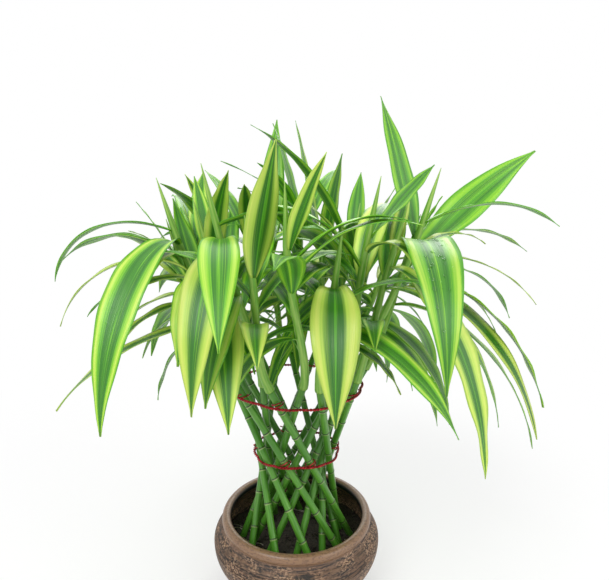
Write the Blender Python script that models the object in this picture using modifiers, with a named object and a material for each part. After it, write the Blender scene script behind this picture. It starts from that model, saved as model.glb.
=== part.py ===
"""A woven lucky bamboo: twenty canes in two crossing rings, tied with wire, in a squat pot.

Metres, +Z up. The origin is the middle of the pot's flat base.
"""

import math
from dataclasses import dataclass, replace

import bmesh
import bpy
from mathutils import Vector
from mathutils.bvhtree import BVHTree

GAP = 0.0003

# The pot: an oblate bowl under a rounded lip.
POT_HEIGHT = 0.078
LIP_RADIUS = 0.0812
MOUTH_RADIUS = 0.0714
BELLY_RADIUS = 0.090
BELLY_HEIGHT = 0.050
BELLY_DROP = 0.0560
WALL = 0.007
FOOT_RADIUS = 0.048
FLOOR = 0.009
POT_STEPS = 32

# The bed that holds the feet of the canes.
BED_TOP = 0.043
BED_CROWN = 0.002

# The canes lie on two hyperboloids, one inside the other, which lean opposite ways.
CANES_A_RING = 10
CANE_RADIUS = 0.0038
NODE_SWELL = 1.12
CANE_FOOT = 0.030
CANE_TOP = 0.236
WAIST_HEIGHT = 0.125
INTERNODE = 0.029

# The wire ties.
WIRE_RADIUS = 0.0011
LOWER_TIE_HEIGHT = 0.146
UPPER_TIE_HEIGHT = 0.218

# The leafy shoots.
SHOOT_RADIUS = 0.0046
SHOOT_SIDES = 8
SHOOT_RINGS = 15
FIRST_LEAF_RING = 5
SPEAR_LENGTH = 0.045
# How wide, and how far along, each section of the rolled leaf is, as shares.
SPEAR_TAPER = ((0.8, 0.45), (0.12, 1.0))
LEAF_THICKNESS = 0.0011
LEAF_STATIONS = (0.06, 0.2, 0.36, 0.54, 0.72, 0.88, 1.0)
SPINE_STEPS = 25
CLEARANCE = 0.0008
# How squarely a face of the stem must look the way its leaf heads, as a cosine.
FACE_MATCH = 0.8


@dataclass(frozen=True)
class Ring:
    """One family of canes: where it crosses the waist, and how its shoots go on and end."""

    name: str
    waist_radius: float
    slope: float
    lean: int
    first_angle: float
    heart_turn: float
    heart_radius: float
    heart_height: float
    follow: float


@dataclass(frozen=True)
class Leaf:
    """One leaf. Angles are in degrees: heading seen from above, rise above the horizon.

    It bends along its whole length where curl is high, and mostly at its root where it is low.
    """

    ring: int
    heading: float
    rise: float
    bend: float
    length: float
    width: float
    sweep: float = 0.0
    roll: float = 0.0
    curl: float = 1.35


OUTER = Ring("outer", 0.038, 0.568, -1, -85.0, -57.0, 0.108, 0.352, 0.30)
INNER = Ring("inner", 0.0285, 0.498, 1, -74.0, 54.0, 0.118, 0.382, 0.20)

# The other leaves follow their age, older ones first: (rise, bend, length, width, curl).
LEAF_AGES = (
    (8, 92, 0.150, 0.027, 0.7),
    (20, 104, 0.160, 0.029, 0.8),
    (30, 110, 0.168, 0.031, 0.9),
    (38, 106, 0.172, 0.032, 1.0),
    (46, 98, 0.168, 0.031, 1.1),
    (54, 86, 0.158, 0.030, 1.2),
    (63, 66, 0.142, 0.028, 1.3),
    (72, 42, 0.125, 0.025, 1.3),
    (81, 18, 0.105, 0.022, 1.3),
)
# Smaller leaves on the other side of the stem: (stem ring, rise, bend, length, width, curl).
SIDE_LEAVES = (
    (6, 24, 96, 0.120, 0.024, 0.9),
    (8, 36, 92, 0.130, 0.025, 1.0),
    (10, 50, 84, 0.125, 0.024, 1.1),
    (12, 66, 56, 0.105, 0.021, 1.2),
)
SIDE_TURN = 150.0
# How much shorter and narrower the ruled leaves of the shoots in front are.
FRONT_SHARE = (0.74, 0.84)
YOUNG_AGE = 5
# These shoots stand in front, so by rule they grow young leaves only.
FRONT_SHOOTS = {("outer", number) for number in (0, 1, 2, 3, 4, 9)} | {
    ("inner", number) for number in (0, 6, 7, 8, 9)}
LEAF_TURN = 137.5
OUTWARD_PULL = 0.72
# The leaves that show from the front are chosen one by one:
# (ring, heading, rise, bend, length, width, sweep, roll, curl).
CHOSEN_LEAVES = {
    ("inner", 0): (
        Leaf(11, -95, 19, 116, 0.215, 0.037),
        Leaf(12, 125, 74, 8, 0.148, 0.029),
        Leaf(13, -6, 26, 68, 0.126, 0.026),
        Leaf(9, -9, 2, 86, 0.195, 0.030, 0, 0, 0.6),
    ),
    ("outer", 4): (
        Leaf(12, 15, 46, 15, 0.200, 0.040, 0, 90),
        Leaf(10, -40, 8, 88, 0.202, 0.032, 0, 0, 0.7),
        Leaf(8, -18, 3, 84, 0.210, 0.028, 0, 0, 0.7),
    ),
    ("outer", 3): (
        Leaf(12, -50, -4, 84, 0.200, 0.036, 0, 0, 0.5),
        Leaf(10, -30, 6, 90, 0.165, 0.030, 0, 0, 0.6),
    ),
    ("inner", 9): (
        Leaf(12, -40, 50, 145, 0.085, 0.028, 0, 0, 0.7),
        Leaf(13, 0, 54, 10, 0.078, 0.020, 0, 60),
    ),
    ("outer", 2): (
        Leaf(8, -36, 4, 66, 0.138, 0.036, 0, 0, 0.8),
        Leaf(12, -92, 35, 122, 0.128, 0.037, 0, 0, 0.4),
    ),
    ("inner", 8): (
        Leaf(12, 14, 38, 72, 0.105, 0.026),
    ),
    ("outer", 1): (
        Leaf(13, -90, 86, 6, 0.105, 0.027),
    ),
    ("inner", 7): (
        Leaf(13, -15, 20, 104, 0.140, 0.032),
        Leaf(12, -45, 0, 76, 0.140, 0.030, 0, 0, 0.7),
        Leaf(11, -97, 32, 120, 0.155, 0.032, 0, 0, 0.4),
        Leaf(8, -100, 28, 112, 0.115, 0.028, 0, 0, 0.4),
    ),
    ("outer", 0): (
        Leaf(8, -56, 12, 84, 0.140, 0.034, 0, 0, 0.7),
        Leaf(11, -80, 25, 112, 0.108, 0.032, 0, 0, 0.4),
    ),
    ("inner", 6): (
        Leaf(12, -105, 22, 110, 0.205, 0.037, 0, 0, 0.5),
        Leaf(11, -124, 32, 115, 0.145, 0.036, 0, 0, 0.8),
        Leaf(13, -172, 18, 104, 0.135, 0.022),
        Leaf(10, -160, 32, 108, 0.140, 0.030, 0, 0, 0.9),
        Leaf(8, 175, 64, 6, 0.110, 0.022),
    ),
    ("outer", 9): (
        Leaf(6, -150, -6, 50, 0.160, 0.026),
    ),
    ("inner", 1): (
        Leaf(12, -8, 24, 62, 0.175, 0.026),
        Leaf(11, -14, 12, 70, 0.165, 0.018),
    ),
    ("outer", 7): (
        Leaf(13, 95, 84, 8, 0.185, 0.032),
    ),
    ("outer", 6): (
        Leaf(13, -45, 80, 8, 0.125, 0.028),
        Leaf(12, 160, 82, 6, 0.180, 0.026),
    ),
    ("inner", 3): (
        Leaf(13, 160, 72, 12, 0.140, 0.028),
    ),
    ("inner", 2): (
        Leaf(12, 165, 80, 46, 0.190, 0.026),
        Leaf(10, 160, 72, 40, 0.200, 0.026),
    ),
}
# What a leaf may do to keep clear of its neighbours: (turn, lift) in degrees, least first.
LEAF_SHIFTS = [(0, 0)] + [(turn * way, lift) for turn, lift in (
    (6, 0), (0, 8), (0, -8), (12, 0), (12, 10), (12, -10), (20, 0), (0, 18), (20, 14), (20, -14),
    (28, 0), (36, 12), (36, -12), (44, 0), (44, 24), (54, 10), (64, 20)) for way in (1, -1)]


def clear_scene():
    for obj in list(bpy.data.objects):
        bpy.data.objects.remove(obj, do_unlink=True)


def new_collection(name, hidden=False):
    collection = bpy.data.collections.new(name)
    collection.hide_render = hidden
    bpy.context.scene.collection.children.link(collection)
    return collection


def new_material(name, colour, roughness, metallic=0.0):
    material = bpy.data.materials.new(name)
    material.use_nodes = True
    shader = material.node_tree.nodes["Principled BSDF"]
    shader.inputs["Base Color"].default_value = (*colour, 1.0)
    shader.inputs["Roughness"].default_value = roughness
    shader.inputs["Metallic"].default_value = metallic
    return material


def add_object(name, data, collection, material=None):
    obj = bpy.data.objects.new(name, data)
    collection.objects.link(obj)
    if material:
        data.materials.append(material)
    return obj


def mesh_from(bm, name):
    bmesh.ops.recalc_face_normals(bm, faces=bm.faces)
    if bm.calc_volume(signed=True) < 0.0:
        bmesh.ops.reverse_faces(bm, faces=bm.faces)
    mesh = bpy.data.meshes.new(name)
    bm.to_mesh(mesh)
    bm.free()
    return mesh


def on_circle(radius, degrees, height=0.0):
    angle = math.radians(degrees)
    return Vector((radius * math.cos(angle), radius * math.sin(angle), height))


# ---------------------------------------------------------------- pot and bed


def belly(radius, drop, start, end, count):
    """Points of the bowl's lower outline, as (radius, height), from one angle to the other."""
    points = []
    for step in range(count + 1):
        angle = math.radians(start + (end - start) * step / count)
        points.append((radius * math.cos(angle), BELLY_HEIGHT + drop * math.sin(angle)))
    return points


def inner_wall():
    """The inside of the pot, from its floor up to under the lip."""
    return [(0.0, FLOOR), (0.036, FLOOR)] + belly(
        BELLY_RADIUS - WALL, BELLY_DROP - WALL, -56, 0, 6
    )


def pot_profile():
    lip = [
        (MOUTH_RADIUS + 0.001, POT_HEIGHT - 0.008),
        (MOUTH_RADIUS, POT_HEIGHT - 0.004),
        (MOUTH_RADIUS + 0.002, POT_HEIGHT - 0.001),
        (MOUTH_RADIUS + 0.005, POT_HEIGHT),
        (LIP_RADIUS - 0.0015, POT_HEIGHT - 0.0015),
        (LIP_RADIUS, POT_HEIGHT - 0.005),
        (LIP_RADIUS - 0.001, POT_HEIGHT - 0.009),
        (LIP_RADIUS - 0.003, POT_HEIGHT - 0.0105),
    ]
    shoulder = [(BELLY_RADIUS - 0.004, BELLY_HEIGHT + 0.0115), (BELLY_RADIUS - 0.001, BELLY_HEIGHT + 0.006)]
    bowl = belly(BELLY_RADIUS, BELLY_DROP, 0, -54, 6)
    foot = [(FOOT_RADIUS + 0.001, 0.0015), (FOOT_RADIUS, 0.0), (0.0, 0.0)]
    return inner_wall() + lip + shoulder + bowl + foot


def turned(name, profile, collection, material, steps):
    """A turned solid: its outline runs up the inside and down the outside."""
    bm = bmesh.new()
    points = [bm.verts.new((radius, 0.0, height)) for radius, height in profile]
    for a, b in zip(points, points[1:]):
        bm.edges.new((a, b))
    mesh = bpy.data.meshes.new(name)
    bm.to_mesh(mesh)
    bm.free()
    obj = add_object(name, mesh, collection, material)
    screw = obj.modifiers.new("Turn", "SCREW")
    screw.axis = "Z"
    screw.steps = steps
    screw.render_steps = steps
    screw.use_merge_vertices = True
    screw.merge_threshold = 0.00005
    return obj


def wall_radius(height):
    """How far the inside wall is from the middle at a height, between its corners."""
    wall = inner_wall()[2:]
    for (low_radius, low), (high_radius, high) in zip(wall, wall[1:]):
        if low <= height <= high:
            return low_radius + (high_radius - low_radius) * (height - low) / (high - low)
    return wall[-1][0]


def bed_profile():
    """The potting mix: slightly crowned, and just clear of the pot's wall and floor."""
    top = [(0.0, BED_TOP + BED_CROWN), (0.05, BED_TOP + BED_CROWN * 0.6),
           (wall_radius(BED_TOP) - 2 * GAP, BED_TOP)]
    wall = [(radius - GAP, height + GAP) for radius, height in inner_wall()[2:] if height < BED_TOP - 0.003]
    return top + wall[::-1] + [(0.035, FLOOR + GAP), (0.0, FLOOR + GAP)]


# ---------------------------------------------------------------- canes


def cane_point(ring, number, height):
    """A point on the axis of a cane, which is a straight ruling of its ring's hyperboloid."""
    angle = ring.first_angle + 360.0 / CANES_A_RING * number
    across = on_circle(1.0, angle + 90.0)
    point = on_circle(ring.waist_radius, angle, height)
    return point + across * (ring.lean * ring.slope * (height - WAIST_HEIGHT))


def cane_direction(ring, number):
    return (cane_point(ring, number, 1.0) - cane_point(ring, number, 0.0)).normalized()


def cane_profile(ring, number):
    """Heights and radii along a cane: it swells at each node and thins between them."""
    foot, top = CANE_FOOT, CANE_TOP
    offset = INTERNODE * (0.25 + 0.618 * number % 0.6)
    stations = [(foot, 1.05)]
    height = foot + offset
    while height < top - 0.006:
        stations.append((height, NODE_SWELL))
        middle = height + INTERNODE / 2
        if middle < top - 0.004:
            stations.append((middle, 0.98))
        height += INTERNODE
    stations.append((top, 1.0))
    return stations


def tube(name, points, radii, radius, collection, material, cyclic=False):
    data = bpy.data.curves.new(name, "CURVE")
    data.dimensions = "3D"
    data.bevel_depth = radius
    data.bevel_resolution = 2
    data.use_fill_caps = not cyclic
    data.twist_mode = "MINIMUM"
    spline = data.splines.new("POLY")
    spline.points.add(len(points) - 1)
    spline.use_cyclic_u = cyclic
    for slot, point, share in zip(spline.points, points, radii):
        slot.co = (*point, 1.0)
        slot.radius = share
    return add_object(name, data, collection, material)


def make_cane(ring, number, collection, material):
    stations = cane_profile(ring, number)
    points = [cane_point(ring, number, height) for height, _ in stations]
    shares = [share for _, share in stations]
    return tube(f"cane_{ring.name}_{number + 1:02d}", points, shares, CANE_RADIUS, collection, material)


def socket_cutter(ring, number, collection):
    """A plug a little fatter than the cane's foot, to open its socket in the bed."""
    low, high = cane_point(ring, number, CANE_FOOT - 0.0005), cane_point(ring, number, BED_TOP + 0.02)
    length = (high - low).length
    bm = bmesh.new()
    radius = CANE_RADIUS * NODE_SWELL + GAP * 2
    bmesh.ops.create_cone(bm, cap_ends=True, segments=12, radius1=radius, radius2=radius, depth=length)
    cutter = add_object(f"socket_{ring.name}_{number}", mesh_from(bm, "socket"), collection)
    cutter.location = (low + high) / 2
    cutter.rotation_mode = "QUATERNION"
    cutter.rotation_quaternion = (high - low).to_track_quat("Z", "Y")
    cutter.hide_render = True
    cutter.display_type = "WIRE"
    return cutter


# ---------------------------------------------------------------- ties


def tie_points(height):
    """A tight loop of wire round the outer ring: out at each cane, straight between canes."""
    reach = CANE_RADIUS * NODE_SWELL * 1.16 + WIRE_RADIUS + GAP
    points = []
    for number in range(CANES_A_RING):
        centre = cane_point(OUTER, number, height)
        angle = math.degrees(math.atan2(centre.y, centre.x))
        radius = centre.xy.length + reach
        for turn in (9.0, 0.0, -9.0):
            points.append(on_circle(radius, angle + turn, height))
    return points


def make_tie(name, height, collection, material):
    points = tie_points(height)
    ordered = sorted(points, key=lambda point: math.atan2(point.y, point.x))
    return tube(name, ordered, [1.0] * len(ordered), WIRE_RADIUS, collection, material, cyclic=True)


# ---------------------------------------------------------------- shoots and leaves


def heart_of(ring, number):
    """Where a shoot ends: (angle, radius, height). Neighbouring shoots differ a little."""
    angle = ring.first_angle + 360.0 / CANES_A_RING * number + ring.heart_turn
    wave = math.sin(2.4 * number + ring.lean)
    return angle, ring.heart_radius * (1.0 + 0.10 * wave), ring.heart_height + 0.012 * math.cos(1.9 * number)


def shoot_path(ring, number):
    """Centres of a shoot's rings: on from the cane, then curving up to its heart."""
    angle, radius, height = heart_of(ring, number)
    direction = cane_direction(ring, number)
    start = cane_point(ring, number, CANE_TOP) + direction * GAP
    heart = on_circle(radius, angle, height)
    reach = (heart - start).length
    outward = (on_circle(0.30, angle) + Vector((0.0, 0.0, 1.0))).normalized()
    first, second = start + direction * reach * ring.follow, heart - outward * reach * 0.38
    points = []
    for step in range(SHOOT_RINGS):
        t = step / (SHOOT_RINGS - 1)
        points.append(start * (1 - t) ** 3 + first * 3 * t * (1 - t) ** 2
                      + second * 3 * t * t * (1 - t) + heart * t ** 3)
    return points


def leaf_width(share):
    """How wide a leaf is at a share of its length: narrow, full before the middle, long pointed."""
    blade = math.sin(math.pi * min(share, 1.0) ** 0.8)
    return max(blade + 0.22 * (1.0 - share) ** 4, 0.035)


def leaf_spine(leaf, root):
    """Points down the middle of a leaf, each with its sideways and upward direction."""
    heading, rise = math.radians(leaf.heading), math.radians(leaf.rise)
    point, spine = root.copy(), []
    for step in range(SPINE_STEPS):
        share = step / (SPINE_STEPS - 1)
        turn = heading + math.radians(leaf.sweep) * share
        tilt = rise - math.radians(leaf.bend) * share ** leaf.curl
        along = Vector((math.cos(turn) * math.cos(tilt), math.sin(turn) * math.cos(tilt), math.sin(tilt)))
        side = Vector((-math.sin(turn), math.cos(turn), 0.0))
        up = along.cross(side)
        roll = math.radians(leaf.roll) * share
        spine.append((point.copy(), side * math.cos(roll) + up * math.sin(roll),
                      up * math.cos(roll) - side * math.sin(roll)))
        point = point + along * (leaf.length / (SPINE_STEPS - 1))
    return spine


def spine_at(spine, share):
    place = share * (SPINE_STEPS - 1)
    low = min(int(place), SPINE_STEPS - 2)
    part = place - low
    return tuple(spine[low][i].lerp(spine[low + 1][i], part) for i in range(3))


def leaf_sections(leaf, root, extra=0.0):
    """Four corners of the leaf at each station: right and left below, left and right above."""
    spine = leaf_spine(leaf, root)
    sections = []
    for share in LEAF_STATIONS:
        centre, side, up = spine_at(spine, share)
        half = side * (leaf.width * leaf_width(share) / 2 + extra)
        thick = up * (LEAF_THICKNESS / 2 * (1.0 if share < 1.0 else 0.5) + extra)
        corners = ((-half, -thick), (half, -thick), (half, thick), (-half, thick))
        sections.append([centre + across + over for across, over in corners])
    return sections


def sections_tree(sections):
    """A search tree of a tube with these four-cornered sections."""
    points = [corner for section in sections for corner in section]
    faces = [(3, 2, 1, 0), tuple(range(len(points) - 4, len(points)))]
    for ring in range(len(sections) - 1):
        for corner in range(4):
            a, b = ring * 4 + corner, ring * 4 + (corner + 1) % 4
            faces.append((a, b, b + 4, a + 4))
    return BVHTree.FromPolygons(points, faces)


def object_tree(obj):
    graph = bpy.context.evaluated_depsgraph_get()
    evaluated = obj.evaluated_get(graph)
    mesh = evaluated.to_mesh()
    points = [obj.matrix_world @ vertex.co for vertex in mesh.vertices]
    faces = [tuple(polygon.vertices) for polygon in mesh.polygons]
    evaluated.to_mesh_clear()
    return BVHTree.FromPolygons(points, faces)


def leaf_by_rule(ring, number, age):
    """A leaf of a shoot, the oldest being age 0: they turn round the stem, pulled to the outside."""
    outward = heart_of(ring, number)[0]
    rise, bend, length, width, curl = LEAF_AGES[age]
    turn = (LEAF_TURN * age + 67.0 * number * ring.lean + 40.0) % 360.0 - 180.0
    vary = math.sin(3.7 * age + 2.1 * number + ring.lean)
    return Leaf(FIRST_LEAF_RING + age, outward + OUTWARD_PULL * turn, rise + 6 * vary,
                bend + 10 * vary, length * (1 + 0.10 * vary), width * (1 + 0.08 * vary),
                10 * vary, 12 * vary, curl)


def side_leaf(ring, number, row):
    """A small leaf across the stem from the ruled leaf of its ring."""
    place, rise, bend, length, width, curl = SIDE_LEAVES[row]
    facing = leaf_by_rule(ring, number, place - FIRST_LEAF_RING)
    vary = math.cos(2.3 * row + 1.7 * number + ring.lean)
    return Leaf(place, facing.heading + SIDE_TURN + 20 * vary, rise + 6 * vary, bend + 10 * vary,
                length * (1 + 0.12 * vary), width, -8 * vary, 14 * vary, curl)


def leaves_of(ring, number):
    """A shoot's leaves: its chosen ones, and the rest by rule, smaller on a shoot in front."""
    chosen = CHOSEN_LEAVES.get((ring.name, number), ())
    taken = {leaf.ring for leaf in chosen}
    in_front = (ring.name, number) in FRONT_SHOOTS
    ruled = [leaf_by_rule(ring, number, age)
             for age in range(YOUNG_AGE if in_front else 0, len(LEAF_AGES))
             if FIRST_LEAF_RING + age not in taken]
    ruled += [side_leaf(ring, number, row) for row in range(len(SIDE_LEAVES))
              if SIDE_LEAVES[row][0] not in taken]
    if in_front:
        length, width = FRONT_SHARE
        ruled = [replace(leaf, length=leaf.length * length, width=leaf.width * width) for leaf in ruled]
    return list(chosen) + ruled


def shifted(leaf, shift):
    turn, lift = shift
    return replace(leaf, heading=leaf.heading + turn, rise=leaf.rise + lift)


def stem_radius(step):
    return SHOOT_RADIUS * (1.0 - 0.35 * step / (SHOOT_RINGS - 1))


def extrude_to(bm, face, corners):
    """Extrudes one face and puts its corners at the given places, in the face's own order."""
    made = bmesh.ops.extrude_discrete_faces(bm, faces=[face])["faces"][0]
    for vertex, place in zip(made.verts, corners):
        vertex.co = place
    return made


def matched_corners(face, section):
    """Which corner of the section each of the face's corners goes to, without a twist."""
    centre, middle = face.calc_center_median(), sum(section, Vector()) / 4
    wanted = [(corner - middle).normalized() for corner in section]
    offsets = [(vertex.co - centre).normalized() for vertex in face.verts]
    orders = [[(first + turn * step) % 4 for step in range(4)] for turn in (1, -1) for first in range(4)]
    return max(orders, key=lambda order: sum(offset.dot(wanted[to]) for offset, to in zip(offsets, order)))


def stem_mesh(path):
    """The stem: rings round the path, closed below, with a rolled young leaf on top."""
    bm = bmesh.new()
    rings = []
    for step, centre in enumerate(path):
        ahead = path[min(step + 1, len(path) - 1)] - path[max(step - 1, 0)]
        turn = ahead.to_track_quat("Z", "Y")
        ring = bmesh.ops.create_circle(bm, segments=SHOOT_SIDES, radius=stem_radius(step))["verts"]
        for vertex in ring:
            vertex.co = centre + turn @ vertex.co
        rings.append(ring)
    for low, high in zip(rings, rings[1:]):
        for side in range(SHOOT_SIDES):
            after = (side + 1) % SHOOT_SIDES
            bm.faces.new((low[side], low[after], high[after], high[side]))
    bm.faces.new(list(reversed(rings[0])))
    tip = bm.faces.new(rings[-1])
    direction = (path[-1] - path[-2]).normalized()
    for share, reach in SPEAR_TAPER:
        centre = path[-1] + direction * SPEAR_LENGTH * reach
        middle = tip.calc_center_median()
        tip = extrude_to(bm, tip, [centre + (vertex.co - middle) * share for vertex in tip.verts])
    return bm


def add_leaf(bm, leaf, root, path):
    """Extrudes a leaf out of the stem's free face that looks the way the leaf heads, if one does."""
    middle = (path[leaf.ring + 1] + path[leaf.ring]) / 2
    near = [face for face in bm.faces if len(face.verts) == 4
            and (face.calc_center_median() - middle).length < stem_radius(leaf.ring) * 1.02]
    ahead = on_circle(1.0, leaf.heading)
    face = max(near, key=lambda face: (face.calc_center_median() - middle).normalized().dot(ahead))
    if (face.calc_center_median() - middle).normalized().dot(ahead) < FACE_MATCH:
        return False
    order = matched_corners(face, root_section(leaf, root, path))
    for section in leaf_sections(leaf, root):
        face = extrude_to(bm, face, [section[corner] for corner in order])
    return True


def root_section(leaf, root, path):
    """The four corners where a leaf leaves its stem, in the order of a leaf's section."""
    side = on_circle(stem_radius(leaf.ring) * 0.38, leaf.heading + 90.0)
    up = (path[leaf.ring + 1] - path[leaf.ring]) / 2
    return [root - side - up, root + side - up, root + side + up, root - side + up]


def leaf_tree(leaf, root, path, extra=0.0):
    """A search tree of all of the leaf, from the stem outward."""
    return sections_tree([root_section(leaf, root, path)] + leaf_sections(leaf, root, extra))


def crosses_itself(bm):
    """Whether two faces that share no corner meet."""
    bm.verts.index_update()
    bm.faces.index_update()
    faces = [{vertex.index for vertex in face.verts} for face in bm.faces]
    tree = BVHTree.FromBMesh(bm)
    return any(not faces[a] & faces[b] for a, b in tree.overlap(tree))


def with_leaf(bm, leaf, root, path):
    """A copy of the shoot with the leaf on it; None if it can't grow there cleanly."""
    grown = bm.copy()
    if add_leaf(grown, leaf, root, path) and not crosses_itself(grown):
        return grown
    grown.free()
    return None


def grow_leaf(leaf, key, path, stems, leaves, bm):
    """The leaf, its root and the shoot with it, turned or lifted until it is clear; or None.

    Near the root it is one piece with its own stem, so there only the other shoots count.
    """
    middle = (path[leaf.ring + 1] + path[leaf.ring]) / 2
    others = [stem for name, stem in stems.items() if name != key]
    others += [tree for name, tree in leaves if name != key]
    own = [tree for name, tree in leaves if name == key]
    for shift in LEAF_SHIFTS:
        tried = shifted(leaf, shift)
        root = middle + on_circle(stem_radius(leaf.ring), tried.heading)
        if any(leaf_tree(tried, root, path, CLEARANCE).overlap(tree) for tree in others):
            continue
        blade = sections_tree(leaf_sections(tried, root, CLEARANCE)[1:])
        if any(blade.overlap(tree) for tree in own):
            continue
        grown = with_leaf(bm, tried, root, path)
        if grown:
            return tried, root, grown
    return None


def growing_order(shoots):
    """Each leaf with its shoot: the chosen leaves first, then those by rule."""
    chosen, ruled = [], []
    for ring, number in shoots:
        key = (ring.name, number)
        for leaf in leaves_of(ring, number):
            (chosen if leaf in CHOSEN_LEAVES.get(key, ()) else ruled).append((key, leaf))
    return chosen + ruled


def make_shoots(collection, material, placed):
    """Every shoot with its leaves: the stems go in first, so that all leaves keep clear of them."""
    shoots = [(ring, number) for ring in (OUTER, INNER) for number in range(CANES_A_RING)]
    paths = {(ring.name, number): shoot_path(ring, number) for ring, number in shoots}
    meshes = {key: stem_mesh(path) for key, path in paths.items()}
    stems = {key: BVHTree.FromBMesh(bm) for key, bm in meshes.items()}
    leaves = [(None, tree) for tree in placed]
    for key, leaf in growing_order(shoots):
        found = grow_leaf(leaf, key, paths[key], stems, leaves, meshes[key])
        if found:
            grown_leaf, root, grown = found
            meshes[key].free()
            meshes[key] = grown
            leaves.append((key, leaf_tree(grown_leaf, root, paths[key])))
    for (name, number), bm in meshes.items():
        add_object(f"shoot_{name}_{number + 1:02d}", mesh_from(bm, "shoot"), collection, material)


def main():
    clear_scene()
    plant = new_collection("lucky_bamboo")
    cutters = new_collection("cutters", hidden=True)
    glaze = new_material("brown_glaze", (0.16, 0.09, 0.05), 0.45)
    mix = new_material("potting_mix", (0.02, 0.018, 0.015), 0.95)
    cane_green = new_material("cane_green", (0.16, 0.38, 0.05), 0.4)
    leaf_green = new_material("leaf_green", (0.20, 0.50, 0.04), 0.35)
    red_wire = new_material("red_wire", (0.35, 0.02, 0.02), 0.3)

    turned("pot", pot_profile(), plant, glaze, POT_STEPS)
    bed = turned("potting_mix", bed_profile(), plant, mix, POT_STEPS)
    canes = []
    for ring in (OUTER, INNER):
        for number in range(CANES_A_RING):
            canes.append(make_cane(ring, number, plant, cane_green))
            socket_cutter(ring, number, cutters)
    cut = bed.modifiers.new("Sockets", "BOOLEAN")
    cut.operation = "DIFFERENCE"
    cut.operand_type = "COLLECTION"
    cut.collection = cutters
    ties = [make_tie("lower_tie", LOWER_TIE_HEIGHT, plant, red_wire),
            make_tie("upper_tie", UPPER_TIE_HEIGHT, plant, red_wire)]
    bpy.context.view_layer.update()
    make_shoots(plant, leaf_green, [object_tree(obj) for obj in canes + ties])


main()
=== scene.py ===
"""Looks of a woven lucky bamboo in its pot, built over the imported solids.

Metres, +Z up, the origin in the middle of the pot's flat base. Canes, shoots and leaves follow
the same few driving dimensions as the solids, and each leaf is laid along its own solid leaf.
"""

import logging
import math
import random
from dataclasses import dataclass, field, replace
from enum import Enum
from typing import Callable, Iterable, Optional, Sequence

import bmesh
import bpy
from mathutils import Matrix, Quaternion, Vector
from mathutils.bvhtree import BVHTree


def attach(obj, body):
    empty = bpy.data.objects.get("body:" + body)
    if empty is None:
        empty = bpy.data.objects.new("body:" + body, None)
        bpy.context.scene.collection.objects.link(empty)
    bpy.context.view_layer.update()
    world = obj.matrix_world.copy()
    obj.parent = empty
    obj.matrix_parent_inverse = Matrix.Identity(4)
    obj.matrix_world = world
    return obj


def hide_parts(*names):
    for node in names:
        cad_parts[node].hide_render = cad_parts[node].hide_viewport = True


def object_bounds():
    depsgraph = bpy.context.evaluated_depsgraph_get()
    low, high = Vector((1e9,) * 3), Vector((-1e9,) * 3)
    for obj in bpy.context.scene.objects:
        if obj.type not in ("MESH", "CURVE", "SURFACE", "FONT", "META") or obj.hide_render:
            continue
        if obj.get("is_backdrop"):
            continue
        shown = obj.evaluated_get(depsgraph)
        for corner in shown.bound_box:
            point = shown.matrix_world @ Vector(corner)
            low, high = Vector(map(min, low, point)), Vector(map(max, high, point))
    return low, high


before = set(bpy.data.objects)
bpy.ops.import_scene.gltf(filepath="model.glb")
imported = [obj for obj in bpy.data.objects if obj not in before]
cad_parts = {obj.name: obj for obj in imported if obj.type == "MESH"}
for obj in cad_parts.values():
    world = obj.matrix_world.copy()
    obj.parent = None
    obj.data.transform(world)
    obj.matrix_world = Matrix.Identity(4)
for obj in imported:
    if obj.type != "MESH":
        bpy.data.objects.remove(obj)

LOG = logging.getLogger("lucky_bamboo")
Colour = tuple[float, float, float]
Socket = bpy.types.NodeSocket

# ------------------------------------------------------------------ driving dimensions

CANES_A_RING = 10
CANE_RADIUS = 0.0038
CANE_FOOT = 0.030
CANE_TOP = 0.236
WAIST_HEIGHT = 0.125
INTERNODE = 0.029
GAP = 0.0003

SHOOT_RADIUS = 0.0046
SHOOT_RINGS = 15
FIRST_LEAF_RING = 5
SPEAR_LENGTH = 0.045
SPINE_STEPS = 25
LEAF_STATIONS = (0.2, 0.36, 0.54, 0.72, 0.88, 1.0)
LEAF_AGES = (
    (8, 92, 0.150, 0.027, 0.7),
    (20, 104, 0.160, 0.029, 0.8),
    (30, 110, 0.168, 0.031, 0.9),
    (38, 106, 0.172, 0.032, 1.0),
    (46, 98, 0.168, 0.031, 1.1),
    (54, 86, 0.158, 0.030, 1.2),
    (63, 66, 0.142, 0.028, 1.3),
    (72, 42, 0.125, 0.025, 1.3),
    (81, 18, 0.105, 0.022, 1.3),
)
SIDE_LEAVES = (
    (6, 24, 96, 0.120, 0.024, 0.9),
    (8, 36, 92, 0.130, 0.025, 1.0),
    (10, 50, 84, 0.125, 0.024, 1.1),
    (12, 66, 56, 0.105, 0.021, 1.2),
)
SIDE_TURN = 150.0
FRONT_SHARE = (0.74, 0.84)
YOUNG_AGE = 5
FRONT_SHOOTS = frozenset([("outer", number) for number in (0, 1, 2, 3, 4, 9)]
                         + [("inner", number) for number in (0, 6, 7, 8, 9)])
LEAF_TURN = 137.5
OUTWARD_PULL = 0.72
LEAF_SHIFTS = [(0, 0)] + [(turn * way, lift) for turn, lift in (
    (6, 0), (0, 8), (0, -8), (12, 0), (12, 10), (12, -10), (20, 0), (0, 18), (20, 14), (20, -14),
    (28, 0), (36, 12), (36, -12), (44, 0), (44, 24), (54, 10), (64, 20)) for way in (1, -1)]
SOLID_REACH = 0.0010


class Dress(Enum):
    """How a leaf is marked."""

    PLAIN = 0.0
    STRIPED = 0.5
    CREAM = 1.0


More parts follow.
